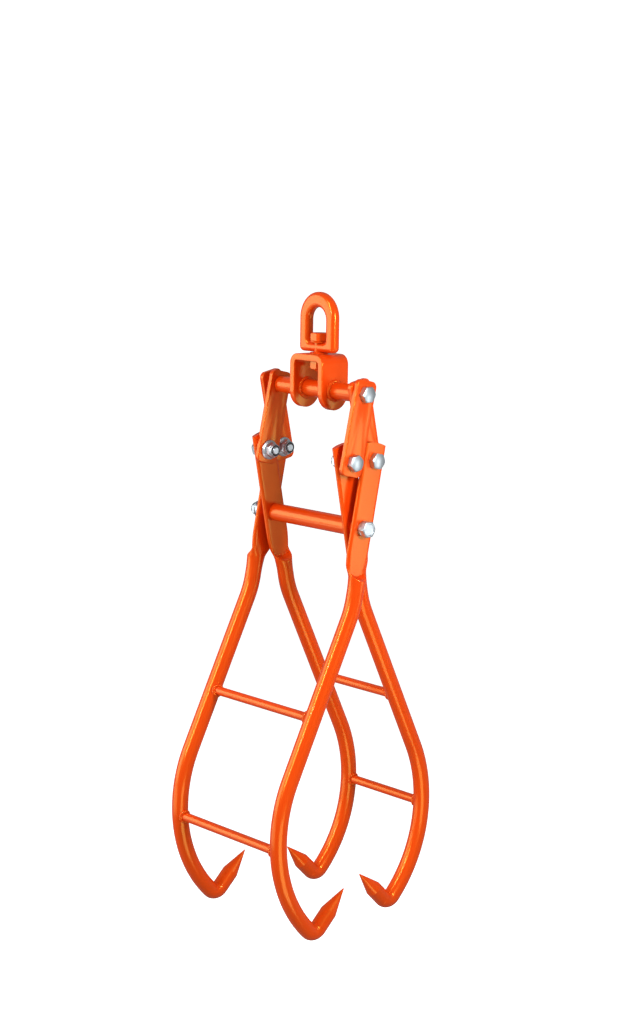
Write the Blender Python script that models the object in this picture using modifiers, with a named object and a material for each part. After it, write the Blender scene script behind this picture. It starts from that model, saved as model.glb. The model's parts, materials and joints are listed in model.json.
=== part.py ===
"""Log grapple: four pointed claws in two crossed frames that hang from a swivel eye.

Lengths are metres and angles are degrees. Z is up, X is the way the claws open and Y runs
along the pivots. The front is -Y. The origin is where a hook bears inside the top of the eye.
"""

import math

import bmesh
import bpy
from mathutils import Matrix, Vector

# Running gap between pieces that touch.
GAP = 0.0003

# Scissor linkage: both links and both arm heads have the same hole spacing.
PIVOT_PITCH = 0.102
CLOSED_HALF_ANGLE = 12.3

# The claw's own line leans less than its two pivots do, so the head pivot is off its middle.
CLAW_LEAN_BACK = 1.0

# Claw tube and its path below the centre pivot, seen from the front.
TUBE_DIAMETER = 0.0254
NECK_STRAIGHT = 0.105
NECK_BEND_RADIUS = 0.130
NECK_BEND_ANGLE = 14.7
SHANK_STRAIGHT = 0.2515
BELLY_RADIUS = 0.206
BELLY_ANGLE = 71.2
HOOK_RADIUS = 0.014
HOOK_ANGLE = 89.5
POINT_LENGTH = 0.071
POINT_CONE_LENGTH = 0.042
POINT_TIP_RADIUS = 0.0008

# Pressed head of each claw tube.
PLATE_WIDTH = 0.0408
PLATE_THICKNESS = 0.008
PLATE_END_LENGTH = 0.024
PLATE_END_BULGE = 0.003
PLATE_TAPER_START = 0.034
PLATE_TAPER_END = 0.096
SHOULDER_START = 0.071
SHOULDER_LENGTH = 0.007
SHOULDER_CRESCENT = 0.005
INNER_TUBE_PROUD = 0.0021

# Flat links between the crossbar and the claw heads.
LINK_WIDTH = 0.039
LINK_THICKNESS = 0.008
LINK_END_LENGTH = 0.0208
LINK_CORNER_RADIUS = 0.009
LINK_EDGE_ROUND = 0.0008

# Depth from the middle of the frames to the inner face of the outermost plates.
OUTER_PLATE_DEPTH = 0.104

# Rungs that tie each pair of claws together, measured along the tube from the centre pivot.
RUNG_DIAMETER = 0.014
UPPER_RUNG_STATION = 0.2925
LEFT_LOWER_RUNG_STATION = 0.4955
RIGHT_LOWER_RUNG_STATION = 0.4885
RUNG_WELD_WIDTH = 0.004

# Crossbar and centre pivot tube.
CROSSBAR_DIAMETER = 0.026
PIVOT_TUBE_DIAMETER = 0.0275
CROSSBAR_WELD_WIDTH = 0.003

# Bent clevis.
CLEVIS_BAR_WIDTH = 0.053
CLEVIS_BAR_THICKNESS = 0.010
CLEVIS_OUTER_WIDTH = 0.073
CLEVIS_BEND_RADIUS = 0.015
CLEVIS_PIN_DROP = 0.0532
CLEVIS_END_DROP = 0.003
CLEVIS_EDGE_ROUND = 0.0012

# Forged swivel eye.
EYE_WIDTH = 0.078
EYE_BAR_WIDTH = 0.020
EYE_CROWN_THICKNESS = 0.023
EYE_DEPTH = 0.016
EYE_INNER_HEIGHT = 0.0525
EYE_BASE_THICKNESS = 0.0145
EYE_EDGE_ROUND = 0.005
EYE_OUTER_CORNER = 0.006
EYE_INNER_CORNER = 0.005

# Swivel bolt through the eye and the clevis.
SWIVEL_SHANK_DIAMETER = 0.016
SWIVEL_HEX_ACROSS = 0.024
SWIVEL_HEAD_HEIGHT = 0.012
SWIVEL_NUT_HEIGHT = 0.013
SWIVEL_WASHER_DIAMETER = 0.028
HEAD_WASHER_THICKNESS = 0.002
EYE_WASHER_THICKNESS = 0.0015
SWIVEL_BOLT_PROUD = 0.003

# Pivot bolts and lock nuts.
BOLT_DIAMETER = 0.014
BOLT_HEX_ACROSS = 0.0225
BOLT_HEAD_HEIGHT = 0.009
BOLT_PROUD = 0.0015
PIVOT_BOLT_PROUD = -0.0005
BOLT_END_CHAMFER = 0.002
CROSSBAR_BOLT_GRIP = 0.022
NUT_HEX_ACROSS = 0.021
NUT_HEX_HEIGHT = 0.0115
NUT_FLANGE_DIAMETER = 0.030
NUT_FLANGE_HEIGHT = 0.003
NUT_COLLAR_DIAMETER = 0.0195
NUT_HEIGHT = 0.015
NYLON_RING_DIAMETER = 0.0165
NYLON_RING_HEIGHT = 0.003
SPACER_DIAMETER = 0.026
WASHER_DIAMETER = 0.028
WASHER_THICKNESS = 0.003
PIVOT_HEAD_WASHER_DIAMETER = 0.0235
PIVOT_HEAD_WASHER_THICKNESS = 0.0045
PIVOT_NUT_COLLAR_LENGTH = 0.009

# Faces round one turn.
TUBE_SIDES = 16
ROUND_SIDES = 20
HOLE_SIDES = 18
HEX_ENVELOPE_SIDES = 24

TUBE_RADIUS = TUBE_DIAMETER / 2
BOLT_RADIUS = BOLT_DIAMETER / 2
HOLE_RADIUS = BOLT_RADIUS + GAP
LAYER_PITCH = PLATE_THICKNESS + GAP
SPACER_LENGTH = LAYER_PITCH - GAP
CLOSED_ANGLE = math.radians(CLOSED_HALF_ANGLE)

# The back has one link layer more than the front, so the middle of the frames lies behind
# the swivel axis by half of the difference between the two stacks.
FRONT_STACK_LAYERS = 2
BACK_STACK_LAYERS = 4
FRAME_MIDDLE_Y = (BACK_STACK_LAYERS - FRONT_STACK_LAYERS) * LAYER_PITCH / 2

EYE_FLOOR_Z = -EYE_INNER_HEIGHT
EYE_BOTTOM_Z = EYE_FLOOR_Z - EYE_BASE_THICKNESS
CLEVIS_TOP_Z = EYE_BOTTOM_Z - EYE_WASHER_THICKNESS - 2 * GAP
CROSSBAR_Z = CLEVIS_TOP_Z - CLEVIS_PIN_DROP
CLAW_PIVOT_X = PIVOT_PITCH * math.sin(CLOSED_ANGLE)
CLAW_PIVOT_Z = CROSSBAR_Z - PIVOT_PITCH * math.cos(CLOSED_ANGLE)

FRONT = -1
BACK = 1
LEFT = -1
RIGHT = 1

ORANGE = "orange powder coat"
ZINC = "zinc plated steel"
NYLON = "black nylon"


def srgb(hex_colour):
    """Linear red, green, blue and alpha of an sRGB hex colour."""
    channels = [int(hex_colour[i : i + 2], 16) / 255 for i in (1, 3, 5)]
    linear = [c / 12.92 if c <= 0.04045 else ((c + 0.055) / 1.055) ** 2.4 for c in channels]
    return (*linear, 1.0)


def make_material(name, hex_colour, roughness, metallic):
    material = bpy.data.materials.new(name)
    material.use_nodes = True
    shader = material.node_tree.nodes["Principled BSDF"]
    shader.inputs["Base Color"].default_value = srgb(hex_colour)
    shader.inputs["Roughness"].default_value = roughness
    shader.inputs["Metallic"].default_value = metallic
    return material


def clear_scene():
    for obj in list(bpy.data.objects):
        bpy.data.objects.remove(obj)


def make_collection(name):
    collection = bpy.data.collections.new(name)
    bpy.context.scene.collection.children.link(collection)
    return collection


def make_axis(name, location, parent=None, turn=0.0):
    """An empty on a joint's axis, turned about Y so that its pieces hang straight down in it."""
    empty = bpy.data.objects.new(name, None)
    empty.empty_display_size = 0.02
    empty.location = location
    empty.rotation_euler = (0.0, turn, 0.0)
    empty.parent = parent
    parts.objects.link(empty)
    return empty


def finish_mesh(bm, smooth_angle=35.0):
    bmesh.ops.remove_doubles(bm, verts=bm.verts, dist=1e-6)
    bmesh.ops.recalc_face_normals(bm, faces=bm.faces)
    mesh = bpy.data.meshes.new("shape")
    bm.to_mesh(mesh)
    bm.free()
    mesh.shade_smooth()
    mesh.set_sharp_from_angle(angle=math.radians(smooth_angle))
    return mesh


def place(name, mesh, material, parent, location=(0, 0, 0), rotation=(0, 0, 0)):
    """A finished piece, hung from the empty of its joint."""
    mesh.name = name
    if not mesh.materials:
        mesh.materials.append(materials[material])
    obj = bpy.data.objects.new(name, mesh)
    obj.location = location
    obj.rotation_euler = rotation
    obj.parent = parent
    parts.objects.link(obj)
    return obj


def make_cutter(name, mesh, parent=None, location=(0, 0, 0), rotation=(0, 0, 0)):
    cutter = bpy.data.objects.new(name, mesh)
    cutter.location = location
    cutter.rotation_euler = rotation
    cutter.parent = parent
    cutter.hide_render = True
    cutter.display_type = "WIRE"
    cutters.objects.link(cutter)
    return cutter


def combine(obj, other, operation="DIFFERENCE"):
    modifier = obj.modifiers.new(other.name, "BOOLEAN")
    modifier.operation = operation
    modifier.object = other


def rod_mesh(radius, length, sides=HOLE_SIDES):
    """A cylinder along Z, centred on its origin."""
    bm = bmesh.new()
    bmesh.ops.create_cone(
        bm, cap_ends=True, segments=sides, radius1=radius, radius2=radius, depth=length
    )
    return finish_mesh(bm)


def turned_mesh(profile, sides=ROUND_SIDES, closed=False):
    """The profile's (radius, height) points, top to bottom down the outer side, spun about Z."""
    mesh = bpy.data.meshes.new("profile")
    points = [(radius, 0.0, height) for radius, height in profile]
    edges = [(i, i + 1) for i in range(len(points) - 1)]
    if closed:
        edges.append((len(points) - 1, 0))
    mesh.from_pydata(points, edges, [])
    spun = bpy.data.objects.new("profile", mesh)
    cutters.objects.link(spun)
    screw = spun.modifiers.new("turn", "SCREW")
    screw.steps = sides
    screw.render_steps = sides
    screw.use_merge_vertices = True
    screw.merge_threshold = 0.00001
    return baked_mesh(spun)


def ring_mesh(outer_radius, inner_radius, bottom, top, chamfer=0.0, sides=ROUND_SIDES):
    profile = [
        (inner_radius, top),
        (outer_radius - chamfer, top),
        (outer_radius, top - chamfer),
        (outer_radius, bottom + chamfer),
        (outer_radius - chamfer, bottom),
        (inner_radius, bottom),
    ]
    return turned_mesh(profile, sides, closed=True)


def baked_mesh(obj):
    """The evaluated mesh of a helper object, welded; the helper is removed."""
    bpy.context.view_layer.update()
    graph = bpy.context.evaluated_depsgraph_get()
    mesh = bpy.data.meshes.new_from_object(obj.evaluated_get(graph))
    bpy.data.objects.remove(obj)
    bm = bmesh.new()
    bm.from_mesh(mesh)
    bpy.data.meshes.remove(mesh)
    return finish_mesh(bm)


def outline_mesh(outlines, thickness, edge_round=0.0, round_steps=2):
    """A flat piece in X and Y from closed outlines, the outer one first and then the holes."""
    curve = bpy.data.curves.new("outline", "CURVE")
    curve.dimensions = "2D"
    curve.fill_mode = "BOTH"
    curve.extrude = thickness / 2 - edge_round
    curve.bevel_depth = edge_round
    curve.bevel_resolution = round_steps
    for outline in outlines:
        spline = curve.splines.new("POLY")
        spline.points.add(len(outline) - 1)
        for point, (x, y) in zip(spline.points, outline):
            point.co = (x, y, 0.0, 1.0)
        spline.use_cyclic_u = True
    flat = bpy.data.objects.new("outline", curve)
    cutters.objects.link(flat)
    return baked_mesh(flat)


def arc(centre, radius, start, end, steps):
    """Points of an arc, with its angles in degrees."""
    points = []
    for i in range(steps + 1):
        angle = math.radians(start + (end - start) * i / steps)
        points.append((centre[0] + radius * math.cos(angle), centre[1] + radius * math.sin(angle)))
    return points


def rounded_box(left, right, bottom, top, low_radius, high_radius, steps=4):
    """A rectangle's outline with one radius on its low corners and one on its high corners."""
    points = arc((right - low_radius, bottom + low_radius), low_radius, -90, 0, steps)
    points += arc((right - high_radius, top - high_radius), high_radius, 0, 90, steps)
    points += arc((left + high_radius, top - high_radius), high_radius, 90, 180, steps)
    points += arc((left + low_radius, bottom + low_radius), low_radius, 180, 270, steps)
    return points


def hex_mesh(across_flats, bottom, top, chamfer_top=True, chamfer_bottom=False):
    """A hexagon along Z whose ends are turned to a chamfer, with its corners up and down."""
    corner = across_flats / 2 / math.cos(math.pi / 6)
    chamfer = (corner - across_flats / 2 * 0.96) * math.tan(math.radians(30))
    high = chamfer if chamfer_top else 0.0
    low = chamfer if chamfer_bottom else 0.0
    bm = bmesh.new()
    bmesh.ops.create_cone(
        bm, cap_ends=True, segments=6, radius1=corner, radius2=corner, depth=top - bottom
    )
    bmesh.ops.translate(bm, verts=bm.verts, vec=(0, 0, (top + bottom) / 2))
    bmesh.ops.rotate(bm, verts=bm.verts, matrix=Matrix.Rotation(math.radians(90), 3, "Z"))
    prism = bpy.data.objects.new("prism", finish_mesh(bm))
    cutters.objects.link(prism)
    outer = corner + GAP
    slope = (outer - across_flats / 2 * 0.96) * math.tan(math.radians(30))
    flat = across_flats / 2 * 0.96
    profile = [(0.0, top + GAP if not high else top), (flat if high else outer, top)]
    profile += [(outer, top - slope)] if high else []
    profile += [(outer, bottom + slope)] if low else []
    profile += [(flat if low else outer, bottom), (0.0, bottom if low else bottom - GAP)]
    envelope = make_cutter("envelope", turned_mesh(profile, HEX_ENVELOPE_SIDES))
    combine(prism, envelope, "INTERSECT")
    mesh = baked_mesh(prism)
    bpy.data.objects.remove(envelope)
    return mesh


def joined_mesh(*meshes, cut=()):
    """One closed solid from overlapping meshes, less the meshes in cut."""
    base = bpy.data.objects.new("joined", meshes[0])
    cutters.objects.link(base)
    helpers = []
    for mesh in meshes[1:]:
        helpers.append(make_cutter("join", mesh))
        combine(base, helpers[-1], "UNION")
    for mesh in cut:
        helpers.append(make_cutter("cut", mesh))
        combine(base, helpers[-1])
    result = baked_mesh(base)
    for helper in helpers:
        bpy.data.objects.remove(helper)
    return result


def layer_face(side, layer, face):
    """World Y of a layer's face, layer 1 outermost. Face is 1 for its outer side, 0 for its inner."""
    depth = OUTER_PLATE_DEPTH - (layer - 1) * LAYER_PITCH + face * PLATE_THICKNESS
    return FRAME_MIDDLE_Y + side * depth


def smooth_step(value):
    value = min(1.0, max(0.0, value))
    return value * value * (3 - 2 * value)


def claw_stations():
    """Arc length, x, z and heading along the claw tube; the heading is from straight down.

    The centre pivot is the origin, at arc length 0. The claw bulges to -x, and every bend has
    its own radius and angle.
    """
    x, z, heading, length = 0.0, 0.0, 0.0, 0.0
    stations = []

    def straight(distance, marks):
        nonlocal x, z, length
        for mark in marks:
            step = mark * distance
            stations.append(
                (length + step, x + math.sin(heading) * step, z - math.cos(heading) * step, heading)
            )
        x += math.sin(heading) * distance
        z -= math.cos(heading) * distance
        length += distance

    def bend(radius, angle, steps):
        nonlocal x, z, heading, length
        turn = math.copysign(1.0, angle)
        centre_x = x + turn * radius * math.cos(heading)
        centre_z = z + turn * radius * math.sin(heading)
        start = heading
        for i in range(steps + 1):
            heading = start + math.radians(angle) * i / steps
            x = centre_x - turn * radius * math.cos(heading)
            z = centre_z - turn * radius * math.sin(heading)
            stations.append((length + radius * abs(heading - start), x, z, heading))
        length += radius * abs(math.radians(angle))

    taper_marks = [PLATE_TAPER_START * k for k in (0.0, 1.0)]
    shoulder_begin = SHOULDER_START - SHOULDER_CRESCENT
    shoulder_span = SHOULDER_CRESCENT + SHOULDER_LENGTH
    taper_marks += [PLATE_TAPER_START + (shoulder_begin - PLATE_TAPER_START) * k / 3 for k in (1, 2)]
    taper_marks += [shoulder_begin + shoulder_span * k / 8 for k in range(9)]
    shoulder_end = SHOULDER_START + SHOULDER_LENGTH
    taper_marks += [shoulder_end + (PLATE_TAPER_END - shoulder_end) * k / 3 for k in (1, 2, 3)]
    straight(NECK_STRAIGHT, [mark / NECK_STRAIGHT for mark in taper_marks])
    bend(NECK_BEND_RADIUS, -NECK_BEND_ANGLE, 3)
    straight(SHANK_STRAIGHT, [])
    bend(BELLY_RADIUS, BELLY_ANGLE, 12)
    bend(HOOK_RADIUS, HOOK_ANGLE, 6)
    return [s for i, s in enumerate(stations) if i == 0 or s[0] - stations[i - 1][0] > 1e-6]


def station_at(distance):
    """Position and heading of the claw tube's centre line at one arc length."""
    x, z, heading = 0.0, 0.0, 0.0
    runs = (
        (NECK_STRAIGHT, None, 0.0),
        (NECK_BEND_RADIUS * math.radians(NECK_BEND_ANGLE), NECK_BEND_RADIUS, -1.0),
        (SHANK_STRAIGHT, None, 0.0),
        (BELLY_RADIUS * math.radians(BELLY_ANGLE), BELLY_RADIUS, 1.0),
        (HOOK_RADIUS * math.radians(HOOK_ANGLE), HOOK_RADIUS, 1.0),
    )
    for length, radius, turn in runs:
        step = min(distance, length)
        if radius is None:
            x += math.sin(heading) * step
            z -= math.cos(heading) * step
        else:
            after = heading + turn * step / radius
            x += turn * radius * (math.cos(heading) - math.cos(after))
            z += turn * radius * (math.sin(heading) - math.sin(after))
            heading = after
        distance -= step
        if distance <= 0:
            break
    return x, z, heading


def head_section(distance, angle, plate_offset):
    """Across and depth of one point of the claw's section, from the tube's centre.

    Above the shoulder the tube is pressed to a flat plate that lies plate_offset to the
    mating side. The press leaves a steep shoulder whose edge is a crescent.
    """
    half_width = TUBE_RADIUS + (PLATE_WIDTH / 2 - TUBE_RADIUS) * (
        1 - smooth_step((distance - PLATE_TAPER_START) / (PLATE_TAPER_END - PLATE_TAPER_START))
    )
    half_depth = PLATE_THICKNESS / 2
    fold = math.radians(54)
    mirrored = math.copysign(1.0, math.cos(angle))
    lean = math.atan2(math.sin(angle), abs(math.cos(angle)))
    if abs(lean) <= fold + 1e-6:
        round_angle = lean / fold * math.pi / 2
        across = mirrored * (half_width - half_depth + half_depth * math.cos(round_angle))
        depth = half_depth * math.sin(round_angle)
    else:
        flat_share = (math.pi / 2 - abs(lean)) / (math.pi / 2 - fold)
        across = mirrored * (half_width - half_depth) * flat_share
        depth = math.copysign(half_depth, lean)
    depth -= plate_offset
    ledge = (1 + math.sin(angle)) / 2
    ramp = SHOULDER_LENGTH * (1 + 2 * (1 - ledge))
    start = SHOULDER_START - SHOULDER_CRESCENT * math.cos(angle) ** 2 - (ramp - SHOULDER_LENGTH)
    tube_share = smooth_step((distance - start) / ramp)
    across += (half_width * math.cos(angle) - across) * tube_share
    depth += (TUBE_RADIUS * math.sin(angle) - depth) * tube_share
    return across, depth


def claw_mesh(bulge, ledge_side, plate_offset):
    """A claw: the pressed head, the bent tube and the tight hook bend, as one loft.

    Bulge is -1 where the claw bulges to -x. Ledge_side is the Y sign of the tube's full side.
    """
    bm = bmesh.new()
    angles = [2 * math.pi * i / TUBE_SIDES for i in range(TUBE_SIDES)]

    def ring(distance, x, z, heading, end_curve=0.0):
        verts = []
        for angle in angles:
            across, depth = head_section(distance, angle, plate_offset)
            lift = end_curve * (1 - (2 * across / PLATE_WIDTH) ** 2)
            px = x + across * math.cos(heading)
            pz = z + across * math.sin(heading) + lift
            verts.append(bm.verts.new((-bulge * px, ledge_side * depth, pz)))
        return verts

    head_top = PIVOT_PITCH + PLATE_END_LENGTH
    rings = [ring(-head_top, 0.0, head_top, 0.0, PLATE_END_BULGE)]
    rings.append(ring(-PIVOT_PITCH / 2, 0.0, PIVOT_PITCH / 2, 0.0))
    rings += [ring(*station) for station in claw_stations()]
    for upper, lower in zip(rings, rings[1:]):
        for i in range(TUBE_SIDES):
            j = (i + 1) % TUBE_SIDES
            bm.faces.new((upper[i], upper[j], lower[j], lower[i]))
    half = TUBE_SIDES // 2
    top = rings[0]
    for i in range(half):
        strip = [top[i], top[i + 1], top[TUBE_SIDES - i - 1], top[-i]]
        bm.faces.new(list(dict.fromkeys(strip)))
    bm.faces.new(rings[-1])
    return finish_mesh(bm)


def make_claw(name, axis, frame, bulge, tube_y, plate_offset, ledge_side):
    """One claw in its frame's empty, with the holes of both pivots."""
    claw = place(name, claw_mesh(bulge, ledge_side, plate_offset), ORANGE, frame, (0, tube_y, 0))
    for label, drop in (("head", 0.0), ("centre", PIVOT_PITCH)):
        drill = make_cutter(
            f"{name}_{label}_drill",
            rod_mesh(HOLE_RADIUS, 2 * TUBE_DIAMETER + 2 * PLATE_THICKNESS),
            axis,
            (0, tube_y, -drop),
            (math.radians(90), 0, 0),
        )
        combine(claw, drill)


def make_point(name, frame, bulge, tube_y):
    """The turned steel point, welded on where the hook bend ends."""
    hook_end = (
        NECK_STRAIGHT
        + NECK_BEND_RADIUS * math.radians(NECK_BEND_ANGLE)
        + SHANK_STRAIGHT
        + BELLY_RADIUS * math.radians(BELLY_ANGLE)
        + HOOK_RADIUS * math.radians(HOOK_ANGLE)
    )
    x, z, heading = station_at(hook_end)
    x += math.sin(heading) * GAP
    z -= math.cos(heading) * GAP
    weld = 0.0008
    profile = [
        (0.0, POINT_LENGTH),
        (POINT_TIP_RADIUS, POINT_LENGTH),
        (TUBE_RADIUS, POINT_LENGTH - POINT_CONE_LENGTH),
        (TUBE_RADIUS, weld),
        (TUBE_RADIUS - weld, 0.0),
        (0.0, 0.0),
    ]
    # The point's own Z runs along the tube, which heads this far round from straight up.
    turn = -bulge * (math.pi - heading)
    place(name, turned_mesh(profile, TUBE_SIDES), ORANGE, frame, (-bulge * x, tube_y, z), (0, turn, 0))


def make_rung(name, frame, bulge, station, half_span):
    """A round rung, coped to both tubes, with the weld fillets that hold it."""
    x, z, heading = station_at(station)
    radius = RUNG_DIAMETER / 2
    reach = half_span - TUBE_RADIUS / 2
    fillet = half_span - TUBE_RADIUS
    profile = [(0.0, reach), (radius + RUNG_WELD_WIDTH, reach), (radius + RUNG_WELD_WIDTH, fillet)]
    for share in (0.3, 0.6, 1.0):
        bow = RUNG_WELD_WIDTH * (1 - share) ** 2
        profile.append((radius + bow, fillet - RUNG_WELD_WIDTH * share))
    profile += [(r, -h) for r, h in reversed(profile)]
    centre = (-bulge * x, FRAME_MIDDLE_Y, z)
    rung = place(name, turned_mesh(profile, 16), ORANGE, frame, centre, (math.radians(90), 0, 0))
    for label, side in (("front", FRONT), ("back", BACK)):
        cope = make_cutter(
            f"{name}_{label}_cope",
            rod_mesh(TUBE_RADIUS + GAP, 4 * TUBE_DIAMETER, 32),
            frame,
            (-bulge * x, FRAME_MIDDLE_Y + side * half_span, z),
            (0, bulge * heading, 0),
        )
        combine(rung, cope)


def make_claw_frame(label, axis, bulge, half_span, plate_offset, ledge, lower_station):
    """Two claws, their points and two rungs. Ledge is 1 where the tubes lie outside the plates."""
    lean = bulge * math.radians(CLAW_LEAN_BACK)
    frame = make_axis(f"{label}_claw_middle", (0, 0, -PIVOT_PITCH), axis, lean)
    for side_label, side in (("front", FRONT), ("back", BACK)):
        tube_y = FRAME_MIDDLE_Y + side * half_span
        name = f"claw_{label}_{side_label}"
        make_claw(name, axis, frame, bulge, tube_y, plate_offset, side * ledge)
        make_point(f"point_{label}_{side_label}", frame, bulge, tube_y)
    make_rung(f"rung_{label}_upper", frame, bulge, UPPER_RUNG_STATION, half_span)
    make_rung(f"rung_{label}_lower", frame, bulge, lower_station, half_span)


def make_link(name, axis, side, layer):
    """A flat link with both holes, its upper hole on the crossbar's axis."""
    trim = LINK_EDGE_ROUND
    outline = rounded_box(
        -LINK_WIDTH / 2 + trim,
        LINK_WIDTH / 2 - trim,
        -PIVOT_PITCH - LINK_END_LENGTH + trim,
        LINK_END_LENGTH - trim,
        LINK_CORNER_RADIUS - trim,
        LINK_CORNER_RADIUS - trim,
    )
    holes = [arc((0, y), HOLE_RADIUS + trim, 360, 0, HOLE_SIDES)[:-1] for y in (0.0, -PIVOT_PITCH)]
    mesh = outline_mesh([outline, *holes], LINK_THICKNESS, trim, 0)
    middle = (layer_face(side, layer, 0) + layer_face(side, layer, 1)) / 2
    place(name, mesh, ORANGE, axis, (0, middle, 0), (math.radians(90), 0, 0))


def bolt_mesh(shank_radius, across, head_height, shank_length, chamfer):
    """A hexagon bolt along Z: the head stands above the origin and the shank runs down."""
    head = hex_mesh(across, 0.0, head_height)
    shank = turned_mesh(
        [
            (0.0, head_height / 2),
            (shank_radius, head_height / 2),
            (shank_radius, -shank_length + chamfer),
            (shank_radius - chamfer, -shank_length),
            (0.0, -shank_length),
        ]
    )
    return joined_mesh(head, shank)


def lock_nut_mesh():
    """A flange lock nut along Z that sits on the origin, with a seat for its nylon ring."""
    flange_radius = NUT_FLANGE_DIAMETER / 2
    collar_radius = NUT_COLLAR_DIAMETER / 2
    hexagon = hex_mesh(NUT_HEX_ACROSS, NUT_FLANGE_HEIGHT / 2, NUT_HEX_HEIGHT)
    body = turned_mesh(
        [
            (0.0, NUT_HEIGHT),
            (collar_radius - 0.0012, NUT_HEIGHT),
            (collar_radius, NUT_HEIGHT - 0.0012),
            (collar_radius, NUT_FLANGE_HEIGHT),
            (flange_radius - 0.002, NUT_FLANGE_HEIGHT * 0.7),
            (flange_radius, NUT_FLANGE_HEIGHT * 0.35),
            (flange_radius, 0.0),
            (0.0, 0.0),
        ]
    )
    bore = rod_mesh(HOLE_RADIUS, 4 * NUT_HEIGHT)
    seat = rod_mesh(NYLON_RING_DIAMETER / 2 + GAP, 2 * (NYLON_RING_HEIGHT + GAP))
    for vertex in seat.vertices:
        vertex.co.z += NUT_HEIGHT
    return joined_mesh(body, hexagon, cut=(bore, seat))


def make_lock_nut(name, axis, side, face_y, drop, outward):
    """A lock nut and its nylon ring on a face. Outward is 1 where the nut faces away from the middle."""
    away = side * outward
    turn = (-away * math.radians(90), 0, 0)
    seat_y = face_y + away * GAP
    place(name, lock_nut_mesh(), ZINC, axis, (0, seat_y, drop), turn)
    ring = ring_mesh(
        NYLON_RING_DIAMETER / 2, HOLE_RADIUS, NUT_HEIGHT - NYLON_RING_HEIGHT, NUT_HEIGHT
    )
    place(f"{name}_nylon_ring", ring, NYLON, axis, (0, seat_y, drop), turn)


def make_spacer(name, axis, side, layer, drop):
    """A plain bush that fills one layer of the stack on a pivot bolt."""
    middle = (layer_face(side, layer, 0) + layer_face(side, layer, 1)) / 2
    ring = ring_mesh(SPACER_DIAMETER / 2, HOLE_RADIUS, -SPACER_LENGTH / 2, SPACER_LENGTH / 2)
    place(name, ring, ORANGE, axis, (0, middle, drop), (math.radians(90), 0, 0))


def make_washer(
    name, axis, away, face_y, drop, diameter=WASHER_DIAMETER, thickness=WASHER_THICKNESS
):
    """A washer on a face, and the Y of its far face. Away is the Y sign it stands on."""
    seat_y = face_y + away * GAP
    ring = ring_mesh(diameter / 2, HOLE_RADIUS, 0.0, thickness)
    place(name, ring, ZINC, axis, (0, seat_y, drop), (-away * math.radians(90), 0, 0))
    return seat_y + away * thickness


def make_claw_bolt(label, axis, side, outer_layer, inner_layer, washer=False):
    """The bolt that joins a link to a claw head, with its lock nut on the inside."""
    drop = -PIVOT_PITCH
    head_seat = layer_face(side, outer_layer, 1)
    if washer:
        head_seat = make_washer(f"washer_{label}", axis, side, head_seat, drop)
    head_y = head_seat + side * GAP
    nut_y = layer_face(side, inner_layer, 0)
    length = abs(head_y - nut_y) + GAP + NUT_HEIGHT + BOLT_PROUD
    mesh = bolt_mesh(BOLT_RADIUS, BOLT_HEX_ACROSS, BOLT_HEAD_HEIGHT, length, BOLT_END_CHAMFER)
    place(f"bolt_{label}", mesh, ZINC, axis, (0, head_y, drop), (-side * math.radians(90), 0, 0))
    make_lock_nut(f"lock_nut_{label}", axis, side, nut_y, drop, -1)


def make_centre_pivot(axis):
    """The long bolt, its tube, spacers and lock nut at the crossing of the claw frames."""
    drop = -PIVOT_PITCH
    front_size = (PIVOT_HEAD_WASHER_DIAMETER, PIVOT_HEAD_WASHER_THICKNESS)
    back_size = (WASHER_DIAMETER, PIVOT_NUT_COLLAR_LENGTH)
    front_face = layer_face(FRONT, 1, 1)
    back_face = layer_face(BACK, 1, 1)
    front_y = make_washer("pivot_washer_front", axis, FRONT, front_face, drop, *front_size) - GAP
    back_y = make_washer("pivot_collar_back", axis, BACK, back_face, drop, *back_size)
    length = back_y - front_y + GAP + NUT_HEIGHT + PIVOT_BOLT_PROUD
    mesh = bolt_mesh(BOLT_RADIUS, BOLT_HEX_ACROSS, BOLT_HEAD_HEIGHT, length, BOLT_END_CHAMFER)
    place("pivot_bolt", mesh, ZINC, axis, (0, front_y, drop), (math.radians(90), 0, 0))
    make_lock_nut("lock_nut_pivot", axis, BACK, back_y, drop, 1)
    tube_front = layer_face(FRONT, 3, 0) + GAP
    tube_back = layer_face(BACK, 3, 0) - GAP
    tube = ring_mesh(
        PIVOT_TUBE_DIAMETER / 2, HOLE_RADIUS, tube_front - tube_back, 0.0, chamfer=0.0008
    )
    place("pivot_tube", tube, ORANGE, axis, (0, tube_front, drop), (math.radians(90), 0, 0))
    make_spacer("pivot_spacer_front", axis, FRONT, 2, drop)
    make_spacer("pivot_spacer_back", axis, BACK, 2, drop)


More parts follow.
